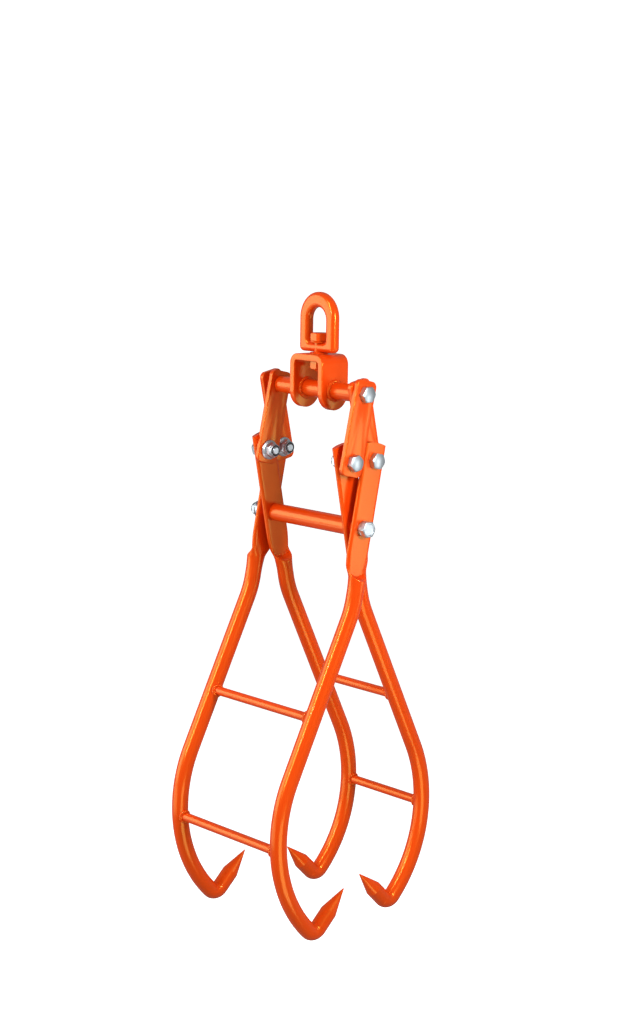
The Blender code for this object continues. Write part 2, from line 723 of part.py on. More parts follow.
def make_crossbar(axis):
    """The crossbar, welded in the clevis, and the two bolts that carry the links on its ends."""
    front_y = layer_face(FRONT, FRONT_STACK_LAYERS, 0) + GAP
    back_y = layer_face(BACK, BACK_STACK_LAYERS, 0) - GAP
    radius = CROSSBAR_DIAMETER / 2
    weld = CROSSBAR_WELD_WIDTH
    outer_leg = CLEVIS_OUTER_WIDTH / 2
    inner_leg = outer_leg - CLEVIS_BAR_THICKNESS
    half = [(radius, back_y), (radius, outer_leg + GAP + weld)]
    half += [(radius + weld, outer_leg + GAP), (radius, outer_leg + GAP / 2)]
    half += [(radius, inner_leg - GAP / 2), (radius + weld, inner_leg - GAP)]
    half += [(radius, inner_leg - GAP - weld)]
    mirrored = [(r, front_y if i == 0 else -h) for i, (r, h) in enumerate(half)]
    profile = half + mirrored[::-1]
    profile += [(HOLE_RADIUS, front_y), (HOLE_RADIUS, back_y)]
    bar = turned_mesh(profile, closed=True)
    place("crossbar", bar, ORANGE, axis, (0, 0, 0), (-math.radians(90), 0, 0))
    stacks = (("front", FRONT, 1, FRONT_STACK_LAYERS), ("back", BACK, 2, BACK_STACK_LAYERS))
    for label, side, outer_layer, inner_layer in stacks:
        head_y = layer_face(side, outer_layer, 1) + side * GAP
        stack = abs(head_y - layer_face(side, inner_layer, 0))
        mesh = bolt_mesh(
            BOLT_RADIUS, BOLT_HEX_ACROSS, BOLT_HEAD_HEIGHT, stack + CROSSBAR_BOLT_GRIP, BOLT_END_CHAMFER
        )
        turn = (-side * math.radians(90), 0, 0)
        place(f"crossbar_bolt_{label}", mesh, ZINC, axis, (0, head_y, 0), turn)
    make_spacer("crossbar_spacer_back", axis, BACK, 3, 0.0)


def make_clevis(axis):
    """The U bent from flat bar, with round leg ends, the crossbar's holes and the swivel's hole."""
    half = CLEVIS_OUTER_WIDTH / 2
    inner = half - CLEVIS_BAR_THICKNESS
    end_radius = CLEVIS_BAR_WIDTH / 2
    end_z = -CLEVIS_PIN_DROP - CLEVIS_END_DROP
    low = end_z - end_radius - CLEVIS_BAR_THICKNESS
    trim = CLEVIS_EDGE_ROUND
    bend = CLEVIS_BEND_RADIUS
    inner_bend = bend - CLEVIS_BAR_THICKNESS
    outline = [(half - trim, low)]
    outline += arc((half - bend, -bend), bend - trim, 0, 90, 6)
    outline += arc((bend - half, -bend), bend - trim, 90, 180, 6)
    outline += [(trim - half, low), (-inner - trim, low)]
    outline += arc((inner_bend - inner, -CLEVIS_BAR_THICKNESS - inner_bend), inner_bend + trim, 180, 90, 4)
    outline += arc((inner - inner_bend, -CLEVIS_BAR_THICKNESS - inner_bend), inner_bend + trim, 90, 0, 4)
    outline += [(inner + trim, low)]
    bar = outline_mesh([outline], CLEVIS_BAR_WIDTH, trim, 0)
    turn = Matrix.Rotation(math.radians(90), 4, "Z") @ Matrix.Rotation(math.radians(90), 4, "X")
    bar.transform(turn)
    leg = arc((0, end_z), end_radius, 180, 360, 16) + [(end_radius, 0.01), (-end_radius, 0.01)]
    blank = outline_mesh([leg], CLEVIS_OUTER_WIDTH + 0.01)
    blank.transform(Matrix.Rotation(math.radians(90), 4, "X"))
    for vertex in blank.vertices:
        # The blank is wider than the bar everywhere but at the round ends of the legs.
        if vertex.co.z > end_z:
            vertex.co.x *= 1.1
    clevis = place("clevis", bar, ORANGE, axis)
    combine(clevis, make_cutter("clevis_leg_outline", blank, axis), "INTERSECT")
    crossbar_drill = make_cutter(
        "clevis_crossbar_drill",
        rod_mesh(CROSSBAR_DIAMETER / 2 + GAP, 2 * CLEVIS_OUTER_WIDTH, ROUND_SIDES),
        axis,
        (0, 0, -CLEVIS_PIN_DROP),
        (math.radians(90), 0, 0),
    )
    combine(clevis, crossbar_drill)
    swivel_drill = make_cutter(
        "clevis_swivel_drill",
        rod_mesh(SWIVEL_SHANK_DIAMETER / 2 + GAP, 4 * CLEVIS_BAR_THICKNESS),
        axis,
    )
    combine(clevis, swivel_drill)


def make_eye(axis):
    """The forged eye: a round arch on a flat base that the swivel bolt passes through."""
    trim = EYE_EDGE_ROUND
    outer = EYE_WIDTH / 2
    inner = outer - EYE_BAR_WIDTH
    outline = rounded_box(
        trim - outer,
        outer - trim,
        EYE_BOTTOM_Z + trim,
        EYE_CROWN_THICKNESS - trim,
        EYE_OUTER_CORNER - trim,
        outer - trim,
        8,
    )
    opening = rounded_box(
        -inner - trim, inner + trim, EYE_FLOOR_Z - trim, trim, EYE_INNER_CORNER + trim, inner + trim, 8
    )
    mesh = outline_mesh([outline, opening[::-1]], EYE_DEPTH, trim, 2)
    mesh.transform(Matrix.Rotation(math.radians(90), 4, "Z") @ Matrix.Rotation(math.radians(90), 4, "X"))
    eye = place("swivel_eye", mesh, ORANGE, axis)
    drill = make_cutter(
        "eye_swivel_drill",
        rod_mesh(SWIVEL_SHANK_DIAMETER / 2 + GAP, 4 * EYE_BASE_THICKNESS),
        axis,
        (0, 0, EYE_FLOOR_Z - EYE_BASE_THICKNESS / 2),
    )
    combine(eye, drill)


def make_swivel(axis):
    """The swivel bolt from the eye's floor through the clevis, with its washers and nut."""
    shank_radius = SWIVEL_SHANK_DIAMETER / 2
    hole = shank_radius + GAP
    washer_radius = SWIVEL_WASHER_DIAMETER / 2
    floor = EYE_FLOOR_Z - CLEVIS_TOP_Z
    head_z = floor + HEAD_WASHER_THICKNESS + 2 * GAP
    nut_top = -CLEVIS_BAR_THICKNESS - GAP
    length = head_z - nut_top + SWIVEL_NUT_HEIGHT + SWIVEL_BOLT_PROUD
    mesh = bolt_mesh(shank_radius, SWIVEL_HEX_ACROSS, SWIVEL_HEAD_HEIGHT, length, BOLT_END_CHAMFER)
    place("swivel_bolt", mesh, ORANGE, axis, (0, 0, head_z))
    head_washer = ring_mesh(washer_radius, hole, 0.0, HEAD_WASHER_THICKNESS)
    place("swivel_head_washer", head_washer, ORANGE, axis, (0, 0, floor + GAP))
    eye_washer = ring_mesh(washer_radius, hole, 0.0, EYE_WASHER_THICKNESS)
    place("swivel_eye_washer", eye_washer, ORANGE, axis, (0, 0, GAP))
    hexagon = hex_mesh(SWIVEL_HEX_ACROSS, -SWIVEL_NUT_HEIGHT, 0.0, True, True)
    nut = joined_mesh(hexagon, cut=(rod_mesh(hole, 4 * SWIVEL_NUT_HEIGHT),))
    place("swivel_nut", nut, ORANGE, axis, (0, 0, nut_top))


clear_scene()
parts = make_collection("log_grapple")
cutters = make_collection("cutters")
materials = {
    ORANGE: make_material(ORANGE, "#E8530E", 0.32, 0.0),
    ZINC: make_material(ZINC, "#C9CED0", 0.35, 1.0),
    NYLON: make_material(NYLON, "#141416", 0.5, 0.0),
}

eye_axis = make_axis("eye_axis", (0, 0, 0))
clevis_axis = make_axis("clevis_axis", (0, 0, CLEVIS_TOP_Z), eye_axis)
crossbar_axis = make_axis("crossbar_axis", (0, 0, -CLEVIS_PIN_DROP), clevis_axis)
left_link_axis = make_axis("left_link_axis", (0, 0, 0), crossbar_axis, CLOSED_ANGLE)
right_link_axis = make_axis("right_link_axis", (0, 0, 0), crossbar_axis, -CLOSED_ANGLE)
# The left claws hang from the right links, because the frames cross at the centre pivot.
left_claw_axis = make_axis("left_claw_axis", (0, 0, -PIVOT_PITCH), right_link_axis, 2 * CLOSED_ANGLE)
right_claw_axis = make_axis("right_claw_axis", (0, 0, -PIVOT_PITCH), left_link_axis, -2 * CLOSED_ANGLE)

make_eye(eye_axis)
make_clevis(clevis_axis)
make_swivel(clevis_axis)
make_crossbar(crossbar_axis)
make_link("link_left_front", left_link_axis, FRONT, 1)
make_link("link_left_back", left_link_axis, BACK, 4)
make_link("link_right_front", right_link_axis, FRONT, 2)
make_link("link_right_back", right_link_axis, BACK, 2)
make_claw_bolt("left_front", left_link_axis, FRONT, 1, 3)
make_claw_bolt("left_back", left_link_axis, BACK, 3, 4, washer=True)
make_spacer("claw_spacer_left_front", left_link_axis, FRONT, 2, -PIVOT_PITCH)
make_claw_bolt("right_front", right_link_axis, FRONT, 1, 2)
make_claw_bolt("right_back", right_link_axis, BACK, 1, 2)

# The left claws are the outer pair: their tubes lie outside their plates. The right claws
# are the inner pair, with their tubes inside.
outer_tube_depth = OUTER_PLATE_DEPTH + TUBE_RADIUS
inner_face_depth = OUTER_PLATE_DEPTH - 2 * LAYER_PITCH + PLATE_THICKNESS
inner_tube_depth = inner_face_depth + INNER_TUBE_PROUD - TUBE_RADIUS
outer_plate_offset = TUBE_RADIUS - PLATE_THICKNESS / 2
inner_plate_offset = outer_plate_offset - INNER_TUBE_PROUD
left_layout = (outer_tube_depth, outer_plate_offset, 1, LEFT_LOWER_RUNG_STATION)
right_layout = (inner_tube_depth, inner_plate_offset, -1, RIGHT_LOWER_RUNG_STATION)
make_claw_frame("left", left_claw_axis, LEFT, *left_layout)
make_claw_frame("right", right_claw_axis, RIGHT, *right_layout)
make_centre_pivot(left_claw_axis)
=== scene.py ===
"""Looks of the log grapple: powder coat, zinc, weld beads, studio and camera.

Lengths are metres unless a name says mm. Z is up, the claws open along X and the front is -Y.
"""

import json
import math

import bmesh
import bpy
from mathutils import Matrix, Vector


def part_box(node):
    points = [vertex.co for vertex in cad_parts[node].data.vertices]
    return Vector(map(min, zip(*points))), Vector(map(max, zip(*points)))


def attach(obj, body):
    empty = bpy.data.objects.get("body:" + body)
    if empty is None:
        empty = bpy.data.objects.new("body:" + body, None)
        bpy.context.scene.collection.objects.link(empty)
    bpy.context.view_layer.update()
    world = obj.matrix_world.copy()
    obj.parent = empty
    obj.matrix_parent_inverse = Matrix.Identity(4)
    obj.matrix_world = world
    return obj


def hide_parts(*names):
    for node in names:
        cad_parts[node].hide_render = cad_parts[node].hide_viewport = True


MM = 0.001

# Linkage and claw path, the same values as the CAD part.
PIVOT_PITCH = 0.102
CLOSED_ANGLE = math.radians(12.3)
CLAW_PIVOT_X = PIVOT_PITCH * math.sin(CLOSED_ANGLE)
CROSSBAR_Z = -0.1223
CLAW_PIVOT_Z = CROSSBAR_Z - PIVOT_PITCH * math.cos(CLOSED_ANGLE)
CENTRE_Z = CROSSBAR_Z - 2 * PIVOT_PITCH * math.cos(CLOSED_ANGLE)
CLAW_ANGLE = CLOSED_ANGLE - math.radians(1.0)
FRAME_MIDDLE_Y = 0.0083
TUBE_RADIUS = 0.0127
NECK_STRAIGHT = 0.105
NECK_BEND_RADIUS = 0.130
NECK_BEND_ANGLE = 14.7
SHANK_STRAIGHT = 0.2515
BELLY_RADIUS = 0.206
BELLY_ANGLE = 71.2
HOOK_RADIUS = 0.014
HOOK_ANGLE = 89.5
POINT_LENGTH = 0.0707
POINT_CONE_LENGTH = 0.042
POINT_TIP_RADIUS = 0.0008
PLATE_WIDTH = 0.0408
PLATE_THICKNESS = 0.008
LAYER_PITCH = 0.0083
OUTER_PLATE_DEPTH = 0.104
PLATE_END_LENGTH = 0.024
PLATE_END_BULGE = 0.003
PLATE_TAPER_START = 0.034
PLATE_TAPER_END = 0.096
SHOULDER_START = 0.071
SHOULDER_LENGTH = 0.007
SHOULDER_CRESCENT = 0.005
INNER_TUBE_PROUD = 0.0021
LINK_WIDTH = 0.039
LINK_THICKNESS = 0.008
LINK_END_LENGTH = 0.0208
LINK_CORNER_RADIUS = 0.009
UPPER_RUNG_STATION = 0.2925
LOWER_RUNG_STATIONS = {"left": 0.4955, "right": 0.4885}
RUNG_RADIUS = 0.007
CROSSBAR_RADIUS = 0.013
CLEVIS_TOP_Z = -0.0691
CLEVIS_WIDTH = 0.053
CLEVIS_THICKNESS = 0.010
CLEVIS_OUTER_WIDTH = 0.073
CLEVIS_BEND_RADIUS = 0.015
CLEVIS_END_Z = CROSSBAR_Z - 0.003
EYE_WIDTH = 0.078
EYE_BAR_WIDTH = 0.020
EYE_CROWN_THICKNESS = 0.023
EYE_DEPTH = 0.016
EYE_FLOOR_Z = -0.0525
EYE_BOTTOM_Z = -0.0670
EYE_EDGE_ROUND = 0.0068
EYE_INNER_CORNER = 0.005

# Hardware.
BOLT_RADIUS = 0.007
HOLE_RADIUS = 0.0073
BOLT_HEX_ACROSS = 0.0225
BOLT_HEAD_HEIGHT = 0.009
NUT_HEX_ACROSS = 0.021
NUT_HEX_HEIGHT = 0.0115
NUT_FLANGE_RADIUS = 0.015
NUT_FLANGE_HEIGHT = 0.003
NUT_COLLAR_RADIUS = 0.00975
NYLON_RADIUS = 0.00825
NYLON_HEIGHT = 0.003
NYLON_MOUTH_RADIUS = 0.0060
NYLON_CLEARANCE = 0.0001
SWIVEL_RADIUS = 0.008
SWIVEL_HEX_ACROSS = 0.024
SWIVEL_HEAD_HEIGHT = 0.012
CHAMFER_ANGLE = math.radians(30)
THREAD_TAPER = 0.0040
DRILL_REACH = 0.03
ZINC_SOFTENED = 0.0003
NUT_SOFTENED = 0.0002
PAINT_SOFTENED = 0.0006

# Rounding of pressed and sawn edges, and the run of the weld beads.
EDGE_ROUND = 0.0012
PLATE_EDGE_SHARE = math.radians(54)
WELD_RADIUS = 0.0026
WELD_RIPPLE_PITCH = 0.0024
CLEVIS_WELD_RADIUS = 0.0030
CLEVIS_WELD_PITCH = 0.0027
POINT_WELD_RADIUS = 0.0011
POINT_WELD_PITCH = 0.0034
POINT_WELD_DEPTH = 0.905
PRESS_MARK_STEP = 15.5
PRESS_MARK_SIZE = (0.00085, 0.0011, 0.0030)

FRONT = -1
BACK = 1

# Camera, from the photograph's pivots and claw tips. Angles in degrees, lengths in metres.
CAMERA_PLACE = (-2.0030, -2.2370, 0.1632)
CAMERA_AZIMUTH = -41.80
CAMERA_ELEVATION = 8.96
CAMERA_ROLL = 0.87
CAMERA_LENS_MM = 70.42
CAMERA_SENSOR_MM = 36.0
CAMERA_SHIFT = (-0.0018, 0.0003)

# Studio: a round sweep of white card, open at the top.
STUDIO_FLOOR_Z = -1.25
STUDIO_RADIUS = 6.0
STUDIO_SWEEP = 2.5
STUDIO_HEIGHT = 5.0

POWDER_ORANGE = "#E03C05"
POWDER_ORANGE_THIN = "#E84408"
POWDER_GLINT = "#FFE058"
ZINC_BRIGHT = "#D3DCE1"
ZINC_DULL = "#B4BEC4"
NYLON_BLACK = "#16171A"
CARD_WHITE = "#FFFFFF"
CARD_GLOW = 0.75
AIR_LIGHT = 0.28

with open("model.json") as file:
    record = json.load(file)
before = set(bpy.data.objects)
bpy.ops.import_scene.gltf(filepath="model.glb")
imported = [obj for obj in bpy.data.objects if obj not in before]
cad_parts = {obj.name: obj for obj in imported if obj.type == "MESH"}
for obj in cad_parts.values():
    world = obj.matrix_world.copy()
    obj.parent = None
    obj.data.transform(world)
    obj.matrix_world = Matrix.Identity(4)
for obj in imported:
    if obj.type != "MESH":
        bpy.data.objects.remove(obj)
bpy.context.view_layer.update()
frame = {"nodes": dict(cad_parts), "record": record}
record = frame["record"]


def linear(hex_colour):
    """Linear red, green, blue and alpha of an sRGB hex colour."""
    channels = [int(hex_colour[i : i + 2], 16) / 255 for i in (1, 3, 5)]
    values = [c / 12.92 if c <= 0.04045 else ((c + 0.055) / 1.055) ** 2.4 for c in channels]
    return (*values, 1.0)


def new_material(name):
    """A material with its node tree and its Principled shader."""
    material = bpy.data.materials.new(name)
    material.use_nodes = True
    tree = material.node_tree
    return material, tree, tree.nodes["Principled BSDF"]


def add_node(tree, kind, settings=None, links=None):
    """Adds a node. Settings are attributes or input values, and links are inputs fed by outputs."""
    node = tree.nodes.new(kind)
    for key, value in (settings or {}).items():
        if isinstance(key, int) or key in node.inputs:
            node.inputs[key].default_value = value
        else:
            setattr(node, key, value)
    for key, source in (links or {}).items():
        tree.links.new(source, node.inputs[key])
    return node


def shader_values(shader, values):
    for name, value in values.items():
        shader.inputs[name].default_value = value


def powder_coat():
    """Polyester powder coat baked on steel: a deep orange with a clear gloss and fine orange peel."""
    material, tree, shader = new_material("orange_powder_coat")
    shader_values(
        shader,
        {
            "Roughness": 0.22,
            "IOR": 1.5,
            "Specular IOR Level": 1.0,
            "Specular Tint": linear(POWDER_GLINT),
            "Coat Weight": 0.08,
            "Coat Roughness": 0.06,
        },
    )
    place = add_node(tree, "ShaderNodeTexCoord").outputs["Object"]
    # Film thickness drifts over about 60 mm, and a thin film looks a little lighter.
    drift = add_node(tree, "ShaderNodeTexNoise", {"Scale": 1 / (60 * MM), "Detail": 2.0}, {"Vector": place})
    tint = add_node(
        tree,
        "ShaderNodeMix",
        {"data_type": "RGBA", 6: linear(POWDER_ORANGE), 7: linear(POWDER_ORANGE_THIN)},
        {0: drift.outputs["Fac"]},
    )
    tree.links.new(tint.outputs[2], shader.inputs["Base Color"])
    # Orange peel has a grain of about 1 mm; it is drawn at 2.5 mm so that it shows.
    peel = add_node(tree, "ShaderNodeTexNoise", {"Scale": 1 / (2.5 * MM), "Detail": 1.0}, {"Vector": place})
    bump = add_node(
        tree, "ShaderNodeBump", {"Strength": 0.06, "Distance": 0.3 * MM}, {"Height": peel.outputs["Fac"]}
    )
    tree.links.new(bump.outputs["Normal"], shader.inputs["Normal"])
    return material


def zinc_plate():
    """Bright zinc plated over rolled steel: pale blue-grey, with faint streaks and soft pits."""
    material, tree, shader = new_material("bright_zinc_plating")
    shader_values(shader, {"Metallic": 1.0})
    place = add_node(tree, "ShaderNodeTexCoord").outputs["Object"]
    # Spangle and handling marks a few millimetres across.
    cloud = add_node(tree, "ShaderNodeTexNoise", {"Scale": 1 / (4 * MM), "Detail": 3.0}, {"Vector": place})
    tint = add_node(
        tree,
        "ShaderNodeMix",
        {"data_type": "RGBA", 6: linear(ZINC_BRIGHT), 7: linear(ZINC_DULL)},
        {0: cloud.outputs["Fac"]},
    )
    tree.links.new(tint.outputs[2], shader.inputs["Base Color"])
    rough = add_node(
        tree, "ShaderNodeMapRange", {"To Min": 0.30, "To Max": 0.42}, {"Value": cloud.outputs["Fac"]}
    )
    tree.links.new(rough.outputs["Result"], shader.inputs["Roughness"])
    pits = add_node(tree, "ShaderNodeTexNoise", {"Scale": 1 / (1.2 * MM), "Detail": 2.0}, {"Vector": place})
    bump = add_node(
        tree, "ShaderNodeBump", {"Strength": 0.06, "Distance": 0.2 * MM}, {"Height": pits.outputs["Fac"]}
    )
    tree.links.new(bump.outputs["Normal"], shader.inputs["Normal"])
    return material


def nylon():
    """Moulded black nylon: dark and satin, with a fine moulded grain."""
    material, tree, shader = new_material("black_nylon")
    shader_values(shader, {"Base Color": linear(NYLON_BLACK), "Roughness": 0.42, "IOR": 1.53})
    place = add_node(tree, "ShaderNodeTexCoord").outputs["Object"]
    grain = add_node(
        tree, "ShaderNodeTexNoise", {"Scale": 1 / (0.8 * MM), "Detail": 2.0}, {"Vector": place}
    )
    bump = add_node(
        tree, "ShaderNodeBump", {"Strength": 0.15, "Distance": 0.1 * MM}, {"Height": grain.outputs["Fac"]}
    )
    tree.links.new(bump.outputs["Normal"], shader.inputs["Normal"])
    return material


def white_card():
    """Matt white card under and behind the grapple."""
    material, _, shader = new_material("white_card")
    shader_values(
        shader,
        {
            "Base Color": linear(CARD_WHITE),
            "Roughness": 0.9,
            "Specular IOR Level": 0.1,
            "Emission Color": linear(CARD_WHITE),
            "Emission Strength": CARD_GLOW,
        },
    )
    return material


def make_studio():
    """One turned surface: the floor, the sweep and the wall."""
    profile = [(0.0, STUDIO_FLOOR_Z), (STUDIO_RADIUS - STUDIO_SWEEP, STUDIO_FLOOR_Z)]
    for i in range(1, 17):
        angle = math.radians(90 * i / 16)
        profile.append(
            (
                STUDIO_RADIUS - STUDIO_SWEEP + STUDIO_SWEEP * math.sin(angle),
                STUDIO_FLOOR_Z + STUDIO_SWEEP * (1 - math.cos(angle)),
            )
        )
    profile.append((STUDIO_RADIUS, STUDIO_HEIGHT))
    bm = bmesh.new()
    verts = [bm.verts.new((r, 0, z)) for r, z in profile]
    edges = [bm.edges.new(pair) for pair in zip(verts, verts[1:])]
    bmesh.ops.spin(
        bm, geom=verts + edges, cent=(0, 0, 0), axis=(0, 0, 1), angle=math.tau, steps=96, use_merge=True
    )
    bmesh.ops.remove_doubles(bm, verts=bm.verts, dist=0.0001)
    mesh = bpy.data.meshes.new("studio_sweep")
    bm.to_mesh(mesh)
    bm.free()
    mesh.shade_smooth()
    mesh.materials.append(white_card())
    sweep = bpy.data.objects.new("studio_sweep", mesh)
    bpy.context.collection.objects.link(sweep)
    # The card shows white but throws no light back, so the paint keeps its shade.
    sweep.visible_diffuse = False
    sweep.visible_glossy = False


def area_light(name, place, aim, size, power):
    """A white rectangle of light that the camera doesn't see."""
    light = bpy.data.lights.new(name, "AREA")
    light.shape = "RECTANGLE"
    light.size, light.size_y = size
    light.energy = power
    lamp = bpy.data.objects.new(name, light)
    lamp.location = place
    lamp.rotation_euler = (Vector(aim) - Vector(place)).to_track_quat("-Z", "Y").to_euler()
    lamp.visible_camera = False
    bpy.context.collection.objects.link(lamp)


def make_lights():
    """Even air light, a strip for the long glints on the tubes, and panels round them."""
    world = bpy.data.worlds.new("studio_air")
    world.use_nodes = True
    air = world.node_tree.nodes["Background"]
    air.inputs["Color"].default_value = linear(CARD_WHITE)
    air.inputs["Strength"].default_value = AIR_LIGHT
    bpy.context.scene.world = world
    area_light("left_high_strip", (-2.1, 0.0, 0.9), (0, 0, -0.45), (0.10, 1.6), 32)
    area_light("back_left_panel", (-2.0, 1.6, 0.05), (0, 0, -0.4), (2.0, 1.6), 30)
    area_light("low_left_panel", (-1.7, 0.9, -1.1), (0, 0, -0.5), (2.0, 0.6), 6)
    area_light("front_key", (0.0, -1.3, 0.15), (0, 0, -0.3), (0.25, 0.5), 15)
    area_light("right_panel", (0.40, -0.62, -0.37), (0, -0.1, -0.3), (0.20, 0.36), 0.6)
    area_light("right_softbox", (1.9, -2.1, -0.6), (0, 0, -0.45), (1.6, 2.2), 1.2)
    area_light("low_front_panel", (-0.40, -0.95, -1.22), (0, 0, -0.6), (0.7, 0.8), 5)


def make_camera():
    """The camera at the photograph's place, with its own roll."""
    azimuth = math.radians(CAMERA_AZIMUTH)
    elevation = math.radians(CAMERA_ELEVATION)
    roll = math.radians(CAMERA_ROLL)
    level_reach = math.cos(elevation)
    back = Vector(
        (math.sin(azimuth) * level_reach, -math.cos(azimuth) * level_reach, math.sin(elevation))
    )
    level = Vector((math.cos(azimuth), math.sin(azimuth), 0.0))
    upright = back.cross(level)
    right = level * math.cos(roll) + upright * math.sin(roll)
    up = upright * math.cos(roll) - level * math.sin(roll)
    turn = Matrix((right, up, back)).transposed().to_4x4()
    camera = bpy.data.objects.new("camera", bpy.data.cameras.new("camera"))
    camera.matrix_world = Matrix.Translation(CAMERA_PLACE) @ turn
    camera.data.lens = CAMERA_LENS_MM
    camera.data.sensor_width = CAMERA_SENSOR_MM
    camera.data.shift_x, camera.data.shift_y = CAMERA_SHIFT
    bpy.context.collection.objects.link(camera)
    bpy.context.scene.camera = camera


def shaped(bm, smooth_angle=35.0):
    """The welded mesh of a bmesh, facing outward, with edges sharper than the angle left hard."""
    bmesh.ops.remove_doubles(bm, verts=bm.verts, dist=1e-6)
    bmesh.ops.recalc_face_normals(bm, faces=bm.faces)
    mesh = bpy.data.meshes.new("shape")
    bm.to_mesh(mesh)
    bm.free()
    mesh.shade_smooth()
    mesh.set_sharp_from_angle(angle=math.radians(smooth_angle))
    return mesh


def spun(profile, sides=64, closed=False, smooth_angle=35.0):
    """The (radius, height) points turned about Z."""
    bm = bmesh.new()
    verts = [bm.verts.new((radius, 0.0, height)) for radius, height in profile]
    edges = [bm.edges.new(pair) for pair in zip(verts, verts[1:])]
    if closed:
        edges.append(bm.edges.new((verts[-1], verts[0])))
    bmesh.ops.spin(
        bm, geom=verts + edges, cent=(0, 0, 0), axis=(0, 0, 1), angle=math.tau, steps=sides, use_merge=True
    )
    return shaped(bm, smooth_angle)


def ring(outer, inner, bottom, top, trim=0.0004):
    """A plain ring about Z with its outer edges broken."""
    profile = [(inner, top), (outer - trim, top), (outer, top - trim), (outer, bottom + trim)]
    profile += [(outer - trim, bottom), (inner, bottom)]
    return spun(profile, closed=True)


def loft(rings, capped=True):
    """A skin over rings of points that all have the same count."""
    bm = bmesh.new()
    rows = [[bm.verts.new(point) for point in points] for points in rings]
    count = len(rows[0])
    for upper, lower in zip(rows, rows[1:]):
        for i in range(count):
            j = (i + 1) % count
            bm.faces.new((upper[i], upper[j], lower[j], lower[i]))
    if capped:
        bm.faces.new(rows[0])
        bm.faces.new(rows[-1])
    return shaped(bm)


def arc(centre, radius, start, end, steps):
    """Points of an arc, with its angles in degrees."""
    angles = [math.radians(start + (end - start) * i / steps) for i in range(steps + 1)]
    return [(centre[0] + radius * math.cos(a), centre[1] + radius * math.sin(a)) for a in angles]


def rounded_box(left, right, bottom, top, low_radius, high_radius, steps=10):
    """A rectangle's outline with one radius on its low corners and one on its high corners."""
    points = arc((right - low_radius, bottom + low_radius), low_radius, -90, 0, steps)
    points += arc((right - high_radius, top - high_radius), high_radius, 0, 90, steps)
    points += arc((left + high_radius, top - high_radius), high_radius, 90, 180, steps)
    points += arc((left + low_radius, bottom + low_radius), low_radius, 180, 270, steps)
    return points


def baked(obj):
    """The evaluated mesh of a helper object, which is then removed."""
    bpy.context.view_layer.update()
    graph = bpy.context.evaluated_depsgraph_get()
    mesh = bpy.data.meshes.new_from_object(obj.evaluated_get(graph))
    bpy.data.objects.remove(obj)
    bm = bmesh.new()
    bm.from_mesh(mesh)
    return shaped(bm)


def flat_plate(outlines, thickness, edge_round, steps=3):
    """A flat piece in X and Y from closed outlines, the outer one first and then the holes."""
    curve = bpy.data.curves.new("outline", "CURVE")
    curve.dimensions = "2D"
    curve.fill_mode = "BOTH"
    curve.extrude = thickness / 2 - edge_round
    curve.bevel_depth = edge_round
    curve.bevel_resolution = steps
    for outline in outlines:
        spline = curve.splines.new("POLY")
        spline.points.add(len(outline) - 1)
        for point, (x, y) in zip(spline.points, outline):
            point.co = (x, y, 0.0, 1.0)
        spline.use_cyclic_u = True
    helper = bpy.data.objects.new("outline", curve)
    bpy.context.collection.objects.link(helper)
    return baked(helper)


def carved(mesh, tools, operation="DIFFERENCE"):
    """The mesh after a Boolean with each tool mesh."""
    helper = bpy.data.objects.new("stock", mesh)
    bpy.context.collection.objects.link(helper)
    cutters = []
    for tool in tools:
        cutter = bpy.data.objects.new("tool", tool)
        bpy.context.collection.objects.link(cutter)
        cutters.append(cutter)
        modifier = helper.modifiers.new("carve", "BOOLEAN")
        modifier.operation = operation
        modifier.object = cutter
    result = baked(helper)
    for cutter in cutters:
        bpy.data.objects.remove(cutter)
    return result


def hexagon(across, bottom, top):
    """A hexagon about Z with corners along X and a turned chamfer round its top."""
    corner = across / 2 / math.cos(math.pi / 6)
    bm = bmesh.new()
    bmesh.ops.create_cone(bm, cap_ends=True, segments=6, radius1=corner, radius2=corner, depth=top - bottom)
    bmesh.ops.translate(bm, verts=bm.verts, vec=(0, 0, (top + bottom) / 2))
    overhang = 0.001
    flat = across / 2 * 0.95
    slope = (corner + overhang - flat) * math.tan(CHAMFER_ANGLE)
    profile = [(0.0, top), (flat, top), (corner + overhang, top - slope)]
    profile += [(corner + overhang, bottom - overhang), (0.0, bottom - overhang)]
    return carved(shaped(bm), [spun(profile, 72)], "INTERSECT")


def drill(radius, sides):
    """A plain drill about Z that reaches through any plate or nut."""
    profile = [(0.0, DRILL_REACH), (radius, DRILL_REACH), (radius, -DRILL_REACH), (0.0, -DRILL_REACH)]
    return spun(profile, sides)


def joined(*meshes):
    """Several meshes as one, each kept as its own shell."""
    bm = bmesh.new()
    for mesh in meshes:
        bm.from_mesh(mesh)
    mesh = bpy.data.meshes.new("shape")
    bm.to_mesh(mesh)
    bm.free()
    mesh.shade_smooth()
    mesh.set_sharp_from_angle(angle=math.radians(35))
    return mesh


def piece(name, mesh, matrix, body, finish, *nodes, soften=0.0):
    """A finished piece that moves with a body and stands for the CAD nodes named."""
    mesh.transform(matrix)
    mesh.name = name
    mesh.materials.clear()
    mesh.materials.append(finishes[finish])
    obj = bpy.data.objects.new(name, mesh)
    bpy.context.collection.objects.link(obj)
    if soften:
        bevel = obj.modifiers.new("softened_edges", "BEVEL")
        bevel.width = soften
        bevel.segments = 2
        bevel.limit_method = "ANGLE"
        bevel.angle_limit = math.radians(35)
    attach(obj, body)
    if nodes:
        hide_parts(*nodes)
    return obj


